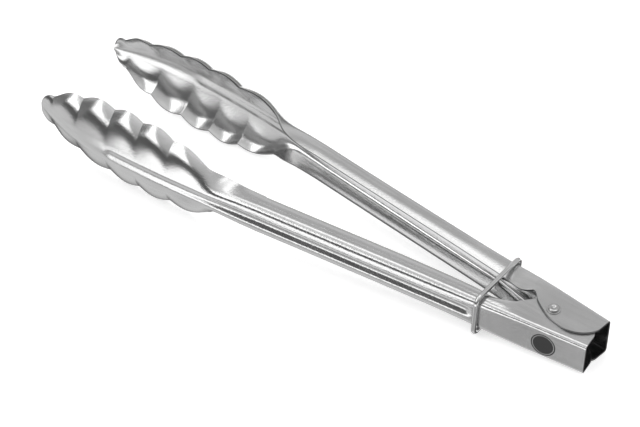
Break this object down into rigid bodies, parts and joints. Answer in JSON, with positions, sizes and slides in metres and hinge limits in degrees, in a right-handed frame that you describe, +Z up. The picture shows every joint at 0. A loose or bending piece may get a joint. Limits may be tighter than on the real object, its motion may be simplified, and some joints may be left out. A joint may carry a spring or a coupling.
{
  "type": "kitchen tongs",
  "caption": "Spring loaded steel kitchen tongs: channel arms with scalloped heads on a rivet, pushed open by a torsion spring and held shut by a sliding wire ring.",
  "frame": {"origin": "middle of the length and of the open width, at the lowest point of the heads", "axes": "+X towards the hinge end, heads at -X; +Y towards the outer arm; +Z up along the rivet"},
  "size_m": [0.2998, 0.0714, 0.0444],
  "materials": {
    "arm_steel": "polished stainless sheet with a fine grain along the length",
    "rivet_steel": "bright pressed rivet and washers",
    "sleeve_steel": "dull turned steel",
    "spring_steel": "drawn spring wire",
    "ring_steel": "bright drawn wire"
  },
  "bodies": {
    "pivot": {"pivot_rivet": "rivet_steel", "rivet_washers": "rivet_steel", "spacer_sleeve": "sleeve_steel", "torsion_spring": "spring_steel"},
    "outer_arm": {"outer_arm": "arm_steel"},
    "inner_arm": {"inner_arm": "arm_steel"},
    "locking_ring": {"locking_ring": "ring_steel"}
  },
  "joints": [
    {"name": "outer_arm_hinge", "type": "hinge", "parent": "pivot", "child": "outer_arm", "pos_m": [0.12611, 0, 0.02221], "axis": [0, 0, 1], "range_deg": [0, 5.55], "stiffness_Nm_per_rad": 2.5, "springref_deg": -3.44, "deforming": ["torsion_spring"]},
    {"name": "inner_arm_hinge", "type": "hinge", "parent": "pivot", "child": "inner_arm", "pos_m": [0.12611, 0, 0.02221], "axis": [0, 0, -1], "range_deg": [0, 5.55], "stiffness_Nm_per_rad": 2.5, "springref_deg": -3.44},
    {"name": "ring_slide", "type": "slide", "parent": "pivot", "child": "locking_ring", "axis": [-1, 0, 0], "range_m": [0, 0.0451]}
  ],
  "couplings": [
    {"joint": "inner_arm_hinge", "follows": "outer_arm_hinge", "ratio": 1},
    {"joint": "ring_slide", "follows": "outer_arm_hinge", "m_per_rad": 0.4645}
  ]
}
